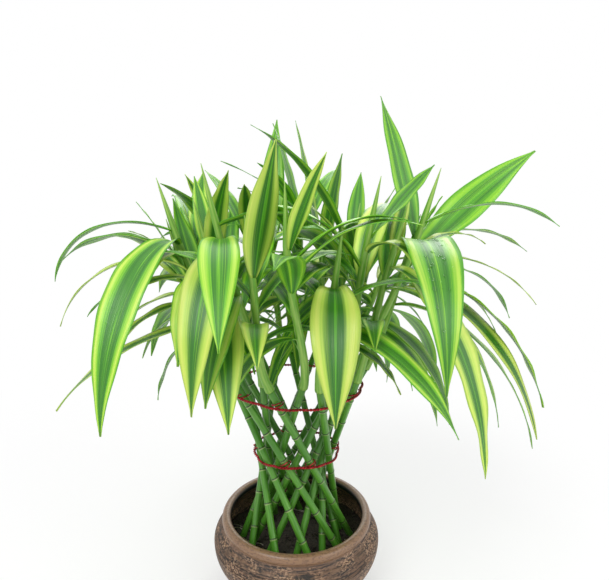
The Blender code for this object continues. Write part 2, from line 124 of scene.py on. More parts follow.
@dataclass(frozen=True)
class Leaf:
    """One leaf. Angles are in degrees: heading seen from above, rise above the horizon."""

    ring: int
    heading: float
    rise: float
    bend: float
    length: float
    width: float
    sweep: float = 0.0
    roll: float = 0.0
    curl: float = 1.35
    dress: Dress = Dress.STRIPED
    wet: bool = False


CHOSEN_LEAVES: dict[tuple[str, int], tuple[Leaf, ...]] = {
    ("inner", 0): (
        Leaf(11, -95, 19, 116, 0.215, 0.037, wet=True),
        Leaf(12, 125, 74, 8, 0.148, 0.029, dress=Dress.PLAIN),
        Leaf(13, -6, 26, 68, 0.126, 0.026, dress=Dress.PLAIN),
        Leaf(9, -9, 2, 86, 0.195, 0.030, curl=0.6),
    ),
    ("outer", 4): (
        Leaf(12, 15, 46, 15, 0.200, 0.040, roll=90, dress=Dress.PLAIN),
        Leaf(10, -40, 8, 88, 0.202, 0.032, curl=0.7, dress=Dress.CREAM),
        Leaf(8, -18, 3, 84, 0.210, 0.028, curl=0.7),
    ),
    ("outer", 3): (
        Leaf(12, -50, -4, 84, 0.200, 0.036, curl=0.5, dress=Dress.CREAM),
        Leaf(10, -30, 6, 90, 0.165, 0.030, curl=0.6),
    ),
    ("inner", 9): (
        Leaf(12, -40, 50, 145, 0.085, 0.028, curl=0.7, dress=Dress.CREAM),
        Leaf(13, 0, 54, 10, 0.078, 0.020, roll=60, dress=Dress.PLAIN),
    ),
    ("outer", 2): (
        Leaf(8, -36, 4, 66, 0.138, 0.036, curl=0.8),
        Leaf(12, -92, 35, 122, 0.128, 0.037, curl=0.4, dress=Dress.CREAM),
    ),
    ("inner", 8): (
        Leaf(12, 14, 38, 72, 0.105, 0.026, dress=Dress.PLAIN),
    ),
    ("outer", 1): (
        Leaf(13, -90, 86, 6, 0.105, 0.027, dress=Dress.CREAM),
    ),
    ("inner", 7): (
        Leaf(13, -15, 20, 104, 0.140, 0.032),
        Leaf(12, -45, 0, 76, 0.140, 0.030, curl=0.7),
        Leaf(11, -97, 32, 120, 0.155, 0.032, curl=0.4, dress=Dress.CREAM),
        Leaf(8, -100, 28, 112, 0.115, 0.028, curl=0.4),
    ),
    ("outer", 0): (
        Leaf(8, -56, 12, 84, 0.140, 0.034, curl=0.7, dress=Dress.CREAM),
        Leaf(11, -80, 25, 112, 0.108, 0.032, curl=0.4),
    ),
    ("inner", 6): (
        Leaf(12, -105, 22, 110, 0.205, 0.037, curl=0.5),
        Leaf(11, -124, 32, 115, 0.145, 0.036, curl=0.8, dress=Dress.CREAM),
        Leaf(13, -172, 18, 104, 0.135, 0.022, dress=Dress.PLAIN),
        Leaf(10, -160, 32, 108, 0.140, 0.030, curl=0.9, dress=Dress.CREAM),
        Leaf(8, 175, 64, 6, 0.110, 0.022, dress=Dress.PLAIN),
    ),
    ("outer", 9): (
        Leaf(6, -150, -6, 50, 0.160, 0.026, dress=Dress.CREAM),
    ),
    ("inner", 1): (
        Leaf(12, -8, 24, 62, 0.175, 0.026),
        Leaf(11, -14, 12, 70, 0.165, 0.018, dress=Dress.CREAM),
    ),
    ("outer", 7): (
        Leaf(13, 95, 84, 8, 0.185, 0.032, dress=Dress.PLAIN),
    ),
    ("outer", 6): (
        Leaf(13, -45, 80, 8, 0.125, 0.028),
        Leaf(12, 160, 82, 6, 0.180, 0.026),
    ),
    ("inner", 3): (
        Leaf(13, 160, 72, 12, 0.140, 0.028, dress=Dress.PLAIN),
    ),
    ("inner", 2): (
        Leaf(12, 165, 80, 46, 0.190, 0.026),
        Leaf(10, 160, 72, 40, 0.200, 0.026, dress=Dress.PLAIN),
    ),
}
RULED_DRESSES = (Dress.STRIPED, Dress.PLAIN, Dress.CREAM, Dress.STRIPED, Dress.PLAIN)


def on_circle(radius: float, degrees: float, height: float = 0.0) -> Vector:
    """A point on a level circle round the pot's axis."""
    angle = math.radians(degrees)
    return Vector((radius * math.cos(angle), radius * math.sin(angle), height))


# ------------------------------------------------------------------ mesh helpers


class Builder:
    """Collects one piece's shapes in a bmesh, then makes it an object at the origin."""

    def __init__(self, name: str) -> None:
        """Starts an empty piece that carries a UV map and a tone for each corner."""
        self.name = name
        self.bm = bmesh.new()
        self.uv = self.bm.loops.layers.uv.new("UVMap")
        self.tone = self.bm.loops.layers.float_color.new("tone")

    def loft(self, points: Sequence[Vector], radii: Sequence[float], sides: int,
             lengths: Optional[Sequence[float]] = None, tone: Colour = (0.5, 0.5, 0.5),
             closed: bool = False) -> None:
        """Draws a round section along a path by extruding its rim from point to point.

        Args:
            points: the path's centres.
            radii: the section's radius at each centre.
            sides: sides of the section.
            lengths: what the UV map's V says at each centre; the length so far by default.
            tone: the tone that the whole shape carries.
            closed: whether the path's end joins its start.
        """
        if lengths is None:
            lengths = [0.0]
            for a, b in zip(points, points[1:]):
                lengths.append(lengths[-1] + (b - a).length)
        first = bmesh.ops.create_circle(self.bm, segments=sides, radius=1.0)["verts"]
        turn = Quaternion()
        frames: list[Quaternion] = []
        last = Vector((0.0, 0.0, 1.0))
        count = len(points)
        for step in range(count):
            after = points[(step + 1) % count] if closed else points[min(step + 1, count - 1)]
            before = points[step - 1] if closed or step else points[0]
            along = (after - before).normalized()
            turn = last.rotation_difference(along) @ turn
            last = along
            frames.append(turn.copy())
        shape = [vertex.co.copy() for vertex in first]
        rings = [first]
        edges = list({edge for vertex in first for edge in vertex.link_edges})
        for step in range(1, count):
            made = bmesh.ops.extrude_edge_only(self.bm, edges=edges)["geom"]
            fresh = [item for item in made if isinstance(item, bmesh.types.BMVert)]
            pairs = {vertex: self._partner(vertex, fresh) for vertex in rings[-1]}
            rings.append([pairs[vertex] for vertex in rings[-1]])
            edges = [item for item in made if isinstance(item, bmesh.types.BMEdge)
                     and item.verts[0] in fresh and item.verts[1] in fresh]
        for ring, centre, radius, frame_turn in zip(rings, points, radii, frames):
            for vertex, corner in zip(ring, shape):
                vertex.co = centre + frame_turn @ (corner * radius)
        if closed:
            bmesh.ops.bridge_loops(self.bm, edges=self._rim(rings[0]) + self._rim(rings[-1]))
        else:
            self.bm.faces.new(list(reversed(rings[0])))
            self.bm.faces.new(rings[-1])
        where = {vertex: (side / sides, lengths[step])
                 for step, ring in enumerate(rings) for side, vertex in enumerate(ring)}
        faces = {face for ring in rings for vertex in ring for face in vertex.link_faces}
        for face in faces:
            face.smooth = True
            across = [where[loop.vert][0] for loop in face.loops]
            wraps = max(across) - min(across) > 0.5
            for loop in face.loops:
                u, v = where[loop.vert]
                loop[self.uv].uv = (u + 1.0 if wraps and u < 0.5 else u, v)
                loop[self.tone] = (*tone, 1.0)

    @staticmethod
    def _partner(vertex: bmesh.types.BMVert, fresh: Iterable[bmesh.types.BMVert]) -> bmesh.types.BMVert:
        """The new vertex that an extrusion joined to this one."""
        chosen = set(fresh)
        return next(edge.other_vert(vertex) for edge in vertex.link_edges
                    if edge.other_vert(vertex) in chosen)

    @staticmethod
    def _rim(ring: Sequence[bmesh.types.BMVert]) -> list[bmesh.types.BMEdge]:
        """The edges that run round one ring."""
        inside = set(ring)
        return list({edge for vertex in ring for edge in vertex.link_edges
                     if edge.other_vert(vertex) in inside})

    def object(self, material: bpy.types.Material, outward: bool = True) -> bpy.types.Object:
        """Makes the piece.

        Args:
            material: the finish of the whole piece.
            outward: whether to turn every face of the closed shapes outwards.

        Returns:
            The new object, linked to the scene.
        """
        if outward:
            bmesh.ops.recalc_face_normals(self.bm, faces=self.bm.faces)
        mesh = bpy.data.meshes.new(self.name)
        self.bm.to_mesh(mesh)
        self.bm.free()
        mesh.materials.append(material)
        obj = bpy.data.objects.new(self.name, mesh)
        bpy.context.scene.collection.objects.link(obj)
        return obj


def finish_piece(obj: bpy.types.Object, slot: str, *nodes: str) -> bpy.types.Object:
    """Fixes a piece to the plant and hides the solids it stands for."""
    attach(obj, "root")
    if nodes:
        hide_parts(*nodes)
    LOG.info("built %s", obj.name)
    return obj


# ------------------------------------------------------------------ finishes


class Graph:
    """A material's shader nodes, added and joined a step at a time."""

    def __init__(self, name: str) -> None:
        """Starts a material with its Principled shader."""
        self.material = bpy.data.materials.new(name)
        self.material.use_nodes = True
        self.tree = self.material.node_tree
        self.shader = self.tree.nodes["Principled BSDF"]

    def add(self, kind: str, **settings: object) -> bpy.types.Node:
        """A new node with its plain settings."""
        node = self.tree.nodes.new(kind)
        for name, value in settings.items():
            setattr(node, name, value)
        return node

    def join(self, source: Socket, target: Socket) -> None:
        """Links two sockets."""
        self.tree.links.new(source, target)

    def feed(self, target: Socket, value: object) -> None:
        """Links a socket, or sets it where the value is a plain number or colour."""
        if isinstance(value, bpy.types.NodeSocket):
            self.join(value, target)
        elif isinstance(value, tuple) and len(value) == 3 and target.type == "RGBA":
            target.default_value = (*value, 1.0)
        else:
            target.default_value = value

    def maths(self, operation: str, a: object, b: object = 0.0, clamp: bool = False) -> Socket:
        """One step of arithmetic."""
        node = self.add("ShaderNodeMath", operation=operation, use_clamp=clamp)
        self.feed(node.inputs[0], a)
        self.feed(node.inputs[1], b)
        return node.outputs[0]

    def ramp(self, factor: Socket, stops: Sequence[tuple[float, Colour]]) -> Socket:
        """A colour picked from a row of stops."""
        node = self.add("ShaderNodeValToRGB")
        ramp = node.color_ramp
        while len(ramp.elements) > 1:
            ramp.elements.remove(ramp.elements[-1])
        ramp.elements[0].position = stops[0][0]
        ramp.elements[0].color = (*stops[0][1], 1.0)
        for place, colour in stops[1:]:
            ramp.elements.new(place).color = (*colour, 1.0)
        self.join(factor, node.inputs[0])
        return node.outputs[0]

    def mix(self, factor: object, a: object, b: object, blend: str = "MIX") -> Socket:
        """Two colours mixed."""
        node = self.add("ShaderNodeMix", data_type="RGBA", blend_type=blend)
        self.feed(node.inputs[0], factor)
        self.feed(node.inputs[6], a)
        self.feed(node.inputs[7], b)
        return node.outputs[2]

    def noise(self, vector: Socket, scale: float, stretch: Colour = (1.0, 1.0, 1.0),
              detail: float = 2.0) -> Socket:
        """A noise field, drawn out along one or more of its axes."""
        mapping = self.add("ShaderNodeMapping")
        mapping.inputs["Scale"].default_value = stretch
        self.join(vector, mapping.inputs[0])
        node = self.add("ShaderNodeTexNoise")
        node.inputs["Scale"].default_value = scale
        node.inputs["Detail"].default_value = detail
        self.join(mapping.outputs[0], node.inputs["Vector"])
        return node.outputs[0]

    def step(self, value: object, low: float, high: float) -> Socket:
        """0 below one value and 1 above the other, smooth between them."""
        node = self.add("ShaderNodeMapRange", interpolation_type="SMOOTHSTEP")
        self.feed(node.inputs[0], value)
        node.inputs[1].default_value = low
        node.inputs[2].default_value = high
        return node.outputs[0]

    def bump(self, height: Socket, distance: float, strength: float = 1.0) -> None:
        """Roughens the surface by a height field, in metres."""
        node = self.add("ShaderNodeBump")
        node.inputs["Strength"].default_value = strength
        node.inputs["Distance"].default_value = distance
        self.join(height, node.inputs["Height"])
        self.join(node.outputs[0], self.shader.inputs["Normal"])

    def uv(self) -> tuple[Socket, Socket, Socket]:
        """The piece's UV map: the whole vector, U and V."""
        node = self.add("ShaderNodeUVMap", uv_map="UVMap")
        split = self.add("ShaderNodeSeparateXYZ")
        self.join(node.outputs[0], split.inputs[0])
        return node.outputs[0], split.outputs[0], split.outputs[1]

    def tones(self) -> tuple[Socket, Socket, Socket]:
        """The three tones that a piece's corners carry."""
        node = self.add("ShaderNodeVertexColor", layer_name="tone")
        split = self.add("ShaderNodeSeparateColor")
        self.join(node.outputs[0], split.inputs[0])
        return split.outputs[0], split.outputs[1], split.outputs[2]

    def place(self) -> Socket:
        """The point's place on the object."""
        return self.add("ShaderNodeTexCoord").outputs["Object"]

    def done(self, colour: Socket, roughness: object, **sockets: object) -> bpy.types.Material:
        """Feeds the shader and hands over the material."""
        self.join(colour, self.shader.inputs["Base Color"])
        self.feed(self.shader.inputs["Roughness"], roughness)
        for name, value in sockets.items():
            self.feed(self.shader.inputs[name.replace("_", " ")], value)
        return self.material


@dataclass(frozen=True)
class LeafFinish:
    """A leaf's skin: dark down the middle, with lime and cream towards the margins."""

    heart: Colour = (0.026, 0.170, 0.008)
    body: Colour = (0.095, 0.390, 0.014)
    lime: Colour = (0.300, 0.640, 0.025)
    cream: Colour = (0.690, 0.810, 0.150)
    roughness: float = 0.32

    def material(self) -> bpy.types.Material:
        """Builds the skin from the leaf's own UV map and tones."""
        graph = Graph("leaf_skin")
        vector, across, _ = graph.uv()
        amount, light, seed = graph.tones()
        middle = graph.maths("ABSOLUTE", graph.maths("SUBTRACT", across, 0.5))
        shifted = graph.add("ShaderNodeVectorMath", operation="ADD")
        graph.join(vector, shifted.inputs[0])
        spread = graph.add("ShaderNodeCombineXYZ")
        graph.join(graph.maths("MULTIPLY", seed, 37.0), spread.inputs[0])
        graph.join(graph.maths("MULTIPLY", seed, 91.0), spread.inputs[1])
        graph.join(spread.outputs[0], shifted.inputs[1])
        streak = graph.noise(shifted.outputs[0], 1.0, (26.0, 1.3, 1.0), 3.0)
        wander = graph.noise(shifted.outputs[0], 1.0, (3.0, 1.6, 1.0), 1.0)
        edge = graph.maths("ADD", graph.maths("MULTIPLY", middle, 2.0),
                           graph.maths("MULTIPLY", graph.maths("SUBTRACT", streak, 0.5), 0.42))
        edge = graph.maths("ADD", edge, graph.maths("MULTIPLY", graph.maths("SUBTRACT", wander, 0.5), 0.30))
        striped = graph.ramp(edge, (
            (0.0, self.body), (0.05, self.heart), (0.34, self.heart), (0.46, self.body), (0.56, self.lime),
            (0.78, self.cream), (0.90, self.lime), (0.97, self.body)))
        plain = graph.ramp(edge, (
            (0.0, self.lime), (0.03, self.body), (0.30, self.heart), (0.55, self.body), (0.80, self.lime),
            (0.96, self.body)))
        colour = graph.mix(graph.step(amount, 0.15, 0.75), plain, striped)
        line = graph.noise(shifted.outputs[0], 1.0, (70.0, 0.5, 1.0), 1.0)
        colour = graph.mix(graph.maths("MULTIPLY", graph.step(line, 0.60, 0.68), 0.55), colour, self.lime)
        creamy = graph.maths("MULTIPLY", graph.step(amount, 0.7, 1.0), graph.step(edge, 0.25, 0.60))
        colour = graph.mix(graph.maths("MULTIPLY", creamy, 0.55), colour, self.cream)
        bright = graph.add("ShaderNodeHueSaturation")
        graph.join(colour, bright.inputs["Color"])
        graph.join(graph.maths("ADD", graph.maths("MULTIPLY", light, 0.9), 0.55), bright.inputs["Value"])
        veins = graph.noise(shifted.outputs[0], 1.0, (90.0, 0.6, 1.0), 1.0)
        graph.bump(veins, 0.0004, 0.6)
        return graph.done(bright.outputs[0], self.roughness, Specular_IOR_Level=0.5)


@dataclass(frozen=True)
class CaneFinish:
    """A cane's skin: smooth green, with a pale ring and a dark line at each joint."""

    green: Colour = (0.062, 0.235, 0.018)
    fresh: Colour = (0.135, 0.380, 0.040)
    pale: Colour = (0.380, 0.520, 0.190)
    dark: Colour = (0.018, 0.045, 0.008)

    def material(self) -> bpy.types.Material:
        """Builds the skin: V counts the joints up the cane."""
        graph = Graph("cane_skin")
        vector, _, along = graph.uv()
        _, light, _ = graph.tones()
        phase = graph.maths("FRACT", graph.maths("ADD", along, 0.5))
        offset = graph.maths("SUBTRACT", phase, 0.5)
        streak = graph.noise(vector, 1.0, (9.0, 0.8, 1.0), 3.0)
        colour = graph.mix(graph.step(streak, 0.35, 0.75), self.green, self.fresh)
        below = graph.maths("ABSOLUTE", graph.maths("ADD", offset, 0.018))
        pale = graph.maths("SUBTRACT", 1.0, graph.step(below, 0.010, 0.034))
        colour = graph.mix(graph.maths("MULTIPLY", pale, 0.75), colour, self.pale)
        line = graph.maths("ABSOLUTE", graph.maths("SUBTRACT", offset, 0.012))
        dark = graph.maths("SUBTRACT", 1.0, graph.step(line, 0.012, 0.026))
        colour = graph.mix(graph.maths("MULTIPLY", dark, 0.9), colour, self.dark)
        # Brightness from the tone: random from cane to cane, and lower on the inner canes as painted shade.
        bright = graph.add("ShaderNodeHueSaturation")
        graph.join(colour, bright.inputs["Color"])
        graph.join(graph.maths("ADD", graph.maths("MULTIPLY", light, 0.8), 0.6), bright.inputs["Value"])
        graph.bump(streak, 0.0002, 0.5)
        return graph.done(bright.outputs[0], 0.33, Specular_IOR_Level=0.5)


@dataclass(frozen=True)
class StemFinish:
    """The sheathed stem of a leafy shoot: pale green, streaked along its length."""

    green: Colour = (0.150, 0.390, 0.035)
    pale: Colour = (0.360, 0.560, 0.110)

    def material(self) -> bpy.types.Material:
        """Builds the sheaths from the stem's own UV map."""
        graph = Graph("stem_skin")
        vector, _, _ = graph.uv()
        streak = graph.noise(vector, 1.0, (7.0, 22.0, 1.0), 2.0)
        colour = graph.mix(graph.step(streak, 0.35, 0.70), self.green, self.pale)
        return graph.done(colour, 0.40)


@dataclass(frozen=True)
class GlazeFinish:
    """The pot's brown glaze: a smooth lip, a combed and speckled body, and the inside painted near black as
    painted shade.
    """

    lip: Colour = (0.270, 0.155, 0.088)
    body: Colour = (0.175, 0.098, 0.058)
    fleck: Colour = (0.500, 0.320, 0.200)
    deep: Colour = (0.020, 0.013, 0.010)
    # Painted shade: the near black given to the pot's inside.
    inside: Colour = (0.008, 0.009, 0.012)

    def material(self) -> bpy.types.Material:
        """Builds the glaze by height and by distance from the axis."""
        graph = Graph("pot_glaze")
        place = graph.place()
        split = graph.add("ShaderNodeSeparateXYZ")
        graph.join(place, split.inputs[0])
        reach = graph.maths("SQRT", graph.maths("ADD", graph.maths("POWER", split.outputs[0], 2.0),
                                                graph.maths("POWER", split.outputs[1], 2.0)))
        comb = graph.noise(place, 1.0, (60.0, 60.0, 900.0), 4.0)
        grain = graph.noise(place, 380.0, (1.0, 1.0, 2.4), 3.0)
        patch = graph.noise(place, 45.0, (1.0, 1.0, 1.4), 2.0)
        rough = graph.mix(graph.step(comb, 0.38, 0.60), self.deep, self.body)
        bright = graph.maths("MULTIPLY", graph.step(grain, 0.50, 0.60), graph.step(patch, 0.30, 0.65))
        rough = graph.mix(graph.maths("MULTIPLY", bright, 0.80), rough, self.fleck)
        dim = graph.maths("SUBTRACT", 1.0, graph.step(grain, 0.34, 0.44))
        rough = graph.mix(graph.maths("MULTIPLY", dim, 0.85), rough, self.deep)
        smooth = graph.mix(graph.step(grain, 0.45, 0.65), self.lip, self.body)
        on_lip = graph.step(split.outputs[2], 0.0662, 0.0678)
        colour = graph.mix(on_lip, rough, smooth)
        # Painted shade: near black inside the mouth's radius, above the pot's floor.
        inner = graph.maths("MULTIPLY", graph.maths("SUBTRACT", 1.0, graph.step(reach, 0.0715, 0.0735)),
                            graph.step(split.outputs[2], 0.01, 0.02))
        colour = graph.mix(inner, colour, self.inside)
        height = graph.maths("ADD", graph.maths("MULTIPLY", comb, 0.7), graph.maths("MULTIPLY", grain, 0.3))
        quiet = graph.maths("SUBTRACT", 1.0, graph.maths("MULTIPLY", on_lip, 0.9))
        graph.bump(graph.maths("MULTIPLY", height, quiet), 0.0012, 0.8)
        rough_share = graph.maths("ADD", graph.maths("MULTIPLY", quiet, 0.22), 0.30)
        return graph.done(colour, rough_share)


@dataclass(frozen=True)
class PlainFinish:
    """A finish of one colour family with a little noise in it."""

    name: str
    low: Colour
    high: Colour
    roughness: float
    metallic: float = 0.0
    scale: float = 300.0

    def material(self) -> bpy.types.Material:
        """Builds the finish on the object's own coordinates."""
        graph = Graph(self.name)
        noise = graph.noise(graph.place(), self.scale)
        colour = graph.mix(graph.step(noise, 0.35, 0.65), self.low, self.high)
        graph.shader.inputs["Metallic"].default_value = self.metallic
        return graph.done(colour, self.roughness)


@dataclass(frozen=True)
class WaterFinish:
    """Clear water drops."""

    def material(self) -> bpy.types.Material:
        """Builds clear water."""
        graph = Graph("water")
        graph.shader.inputs["Base Color"].default_value = (1.0, 1.0, 1.0, 1.0)
        graph.shader.inputs["Roughness"].default_value = 0.02
        graph.shader.inputs["IOR"].default_value = 1.33
        graph.shader.inputs["Transmission Weight"].default_value = 1.0
        return graph.material


# ------------------------------------------------------------------ canes and shoots


@dataclass(frozen=True)
class CaneRing:
    """One family of canes: where it crosses the waist, and how its shoots go on and end."""

    name: str
    waist_radius: float
    slope: float
    lean: int
    first_angle: float
    heart_turn: float
    heart_radius: float
    heart_height: float
    follow: float

    def cane_point(self, number: int, height: float) -> Vector:
        """A point on a cane's axis."""
        angle = self.first_angle + 360.0 / CANES_A_RING * number
        across = on_circle(1.0, angle + 90.0)
        return on_circle(self.waist_radius, angle, height) + across * (
            self.lean * self.slope * (height - WAIST_HEIGHT))

    def cane_direction(self, number: int) -> Vector:
        """The way a cane runs, upwards."""
        return (self.cane_point(number, 1.0) - self.cane_point(number, 0.0)).normalized()

    def heart(self, number: int) -> tuple[float, float, float]:
        """Where a shoot ends: angle, radius and height."""
        angle = self.first_angle + 360.0 / CANES_A_RING * number + self.heart_turn
        wave = math.sin(2.4 * number + self.lean)
        return (angle, self.heart_radius * (1.0 + 0.10 * wave),
                self.heart_height + 0.012 * math.cos(1.9 * number))

    def shoot_curve(self, number: int) -> Callable[[float], Vector]:
        """The curve that a shoot's middle follows, from 0 at its cane to 1 at its heart."""
        angle, radius, height = self.heart(number)
        direction = self.cane_direction(number)
        start = self.cane_point(number, CANE_TOP) + direction * GAP
        heart = on_circle(radius, angle, height)
        reach = (heart - start).length
        outward = (on_circle(0.30, angle) + Vector((0.0, 0.0, 1.0))).normalized()
        first = start + direction * reach * self.follow
        second = heart - outward * reach * 0.38

        def at(t: float) -> Vector:
            """The point at a share of the curve."""
            return (start * (1 - t) ** 3 + first * 3 * t * (1 - t) ** 2
                    + second * 3 * t * t * (1 - t) + heart * t ** 3)

        return at

    def shoot_path(self, number: int) -> list[Vector]:
        """The centres of a shoot's rings."""
        at = self.shoot_curve(number)
        return [at(step / (SHOOT_RINGS - 1)) for step in range(SHOOT_RINGS)]

    def leaf_by_rule(self, number: int, age: int) -> Leaf:
        """A leaf of a shoot, the oldest being age 0."""
        outward = self.heart(number)[0]
        rise, bend, length, width, curl = LEAF_AGES[age]
        turn = (LEAF_TURN * age + 67.0 * number * self.lean + 40.0) % 360.0 - 180.0
        vary = math.sin(3.7 * age + 2.1 * number + self.lean)
        return Leaf(FIRST_LEAF_RING + age, outward + OUTWARD_PULL * turn, rise + 6 * vary,
                    bend + 10 * vary, length * (1 + 0.10 * vary), width * (1 + 0.08 * vary),
                    10 * vary, 12 * vary, curl, RULED_DRESSES[(3 * number + age) % len(RULED_DRESSES)])

    def side_leaf(self, number: int, row: int) -> Leaf:
        """A small leaf across the stem from the ruled leaf of its ring."""
        place, rise, bend, length, width, curl = SIDE_LEAVES[row]
        facing = self.leaf_by_rule(number, place - FIRST_LEAF_RING)
        vary = math.cos(2.3 * row + 1.7 * number + self.lean)
        return Leaf(place, facing.heading + SIDE_TURN + 20 * vary, rise + 6 * vary, bend + 10 * vary,
                    length * (1 + 0.12 * vary), width, -8 * vary, 14 * vary, curl,
                    RULED_DRESSES[(number + row) % len(RULED_DRESSES)])

    def leaves(self, number: int) -> list[Leaf]:
        """Every leaf that a shoot tries to grow: its chosen ones, and the rest by rule."""
        chosen = CHOSEN_LEAVES.get((self.name, number), ())
        taken = {leaf.ring for leaf in chosen}
        in_front = (self.name, number) in FRONT_SHOOTS
        ruled = [self.leaf_by_rule(number, age)
                 for age in range(YOUNG_AGE if in_front else 0, len(LEAF_AGES))
                 if FIRST_LEAF_RING + age not in taken]
        ruled += [self.side_leaf(number, row) for row in range(len(SIDE_LEAVES))
                  if SIDE_LEAVES[row][0] not in taken]
        if in_front:
            length, width = FRONT_SHARE
            ruled = [replace(leaf, length=leaf.length * length, width=leaf.width * width) for leaf in ruled]
        return list(chosen) + ruled


OUTER = CaneRing("outer", 0.038, 0.568, -1, -85.0, -57.0, 0.108, 0.352, 0.30)
INNER = CaneRing("inner", 0.0285, 0.498, 1, -74.0, 54.0, 0.118, 0.382, 0.20)
RINGS = (OUTER, INNER)


def stem_radius(step: float) -> float:
    """A shoot's radius at one of its rings."""
    return SHOOT_RADIUS * (1.0 - 0.35 * step / (SHOOT_RINGS - 1))


def leaf_width(share: float) -> float:
    """How wide a leaf is at a share of its length."""
    blade = math.sin(math.pi * min(share, 1.0) ** 0.8)
    return max(blade + 0.22 * (1.0 - share) ** 4, 0.035)


def leaf_spine(leaf: Leaf, root: Vector) -> list[tuple[Vector, Vector, Vector]]:
    """Points down the middle of a leaf, each with its sideways and upward direction."""
    heading, rise = math.radians(leaf.heading), math.radians(leaf.rise)
    point, spine = root.copy(), []
    for step in range(SPINE_STEPS):
        share = step / (SPINE_STEPS - 1)
        turn = heading + math.radians(leaf.sweep) * share
        tilt = rise - math.radians(leaf.bend) * share ** leaf.curl
        along = Vector((math.cos(turn) * math.cos(tilt), math.sin(turn) * math.cos(tilt), math.sin(tilt)))
        side = Vector((-math.sin(turn), math.cos(turn), 0.0))
        up = along.cross(side)
        roll = math.radians(leaf.roll) * share
        spine.append((point.copy(), side * math.cos(roll) + up * math.sin(roll),
                      up * math.cos(roll) - side * math.sin(roll)))
        point = point + along * (leaf.length / (SPINE_STEPS - 1))
    return spine


def spine_at(spine: Sequence[tuple[Vector, Vector, Vector]], share: float) -> tuple[Vector, Vector, Vector]:
    """The spine's point and directions at a share of its length."""
    place = min(max(share, 0.0), 1.0) * (SPINE_STEPS - 1)
    low = min(int(place), SPINE_STEPS - 2)
    part = place - low
    point, side, up = (spine[low][i].lerp(spine[low + 1][i], part) for i in range(3))
    return point, side.normalized(), up.normalized()


@dataclass
class Canes:
    """The twenty canes, with swollen joints."""

    sides: int = 16
    stations_a_joint: int = 12
    joint_stations: tuple[float, ...] = (-0.030, -0.012, 0.0, 0.012, 0.024, 0.040)
    finish: CaneFinish = field(default_factory=CaneFinish)

    def profile(self, ring: CaneRing, number: int) -> tuple[list[float], list[float], list[float]]:
        """Heights, radii and joint counts up a cane.

        Args:
            ring: the cane's family.
            number: which cane of the family.

        Returns:
            Heights, radii, and how many joints each height is above the first.
        """
        first = CANE_FOOT + INTERNODE * (0.25 + 0.618 * number % 0.6)
        radii = []
        steps = math.ceil((CANE_TOP - CANE_FOOT) / INTERNODE * self.stations_a_joint)
        heights = [CANE_FOOT + (CANE_TOP - CANE_FOOT) * step / steps for step in range(steps + 1)]
        for joint in range(-1, 8):
            near = [first + (joint + offset) * INTERNODE for offset in self.joint_stations]
            heights += [height for height in near if CANE_FOOT < height < CANE_TOP]
        heights = sorted(set(heights))
        counts = [(height - first) / INTERNODE for height in heights]
        for count in counts:
            offset = count - round(count)
            ridge = math.exp(-(offset / 0.035) ** 2)
            groove = math.exp(-((offset - 0.022) / 0.010) ** 2)
            flare = abs(offset) ** 2
            radii.append(CANE_RADIUS * (0.965 + 0.115 * ridge - 0.05 * groove - 0.04 * flare))
        return heights, radii, counts

    def build(self) -> None:
        """Builds and dresses every cane."""
        skin = self.finish.material()
        rng = random.Random(4)
        for ring in RINGS:
            for number in range(CANES_A_RING):
                name = f"cane_{ring.name}_{number + 1:02d}"
                heights, radii, counts = self.profile(ring, number)
                points = [ring.cane_point(number, height) for height in heights]
                builder = Builder(f"{name}_skin")
                # Brightness tone: random from cane to cane, and 0.12 lower on the inner canes as painted
                # shade, for the shade of the outer ring round them.
                light = 0.42 + 0.16 * rng.random() - (0.12 if ring is INNER else 0.0)
                shifted = [count + 10.0 for count in counts]
                builder.loft(points, radii, self.sides, shifted, (0.5, light, rng.random()))
                finish_piece(builder.object(skin), "cane_green", name)


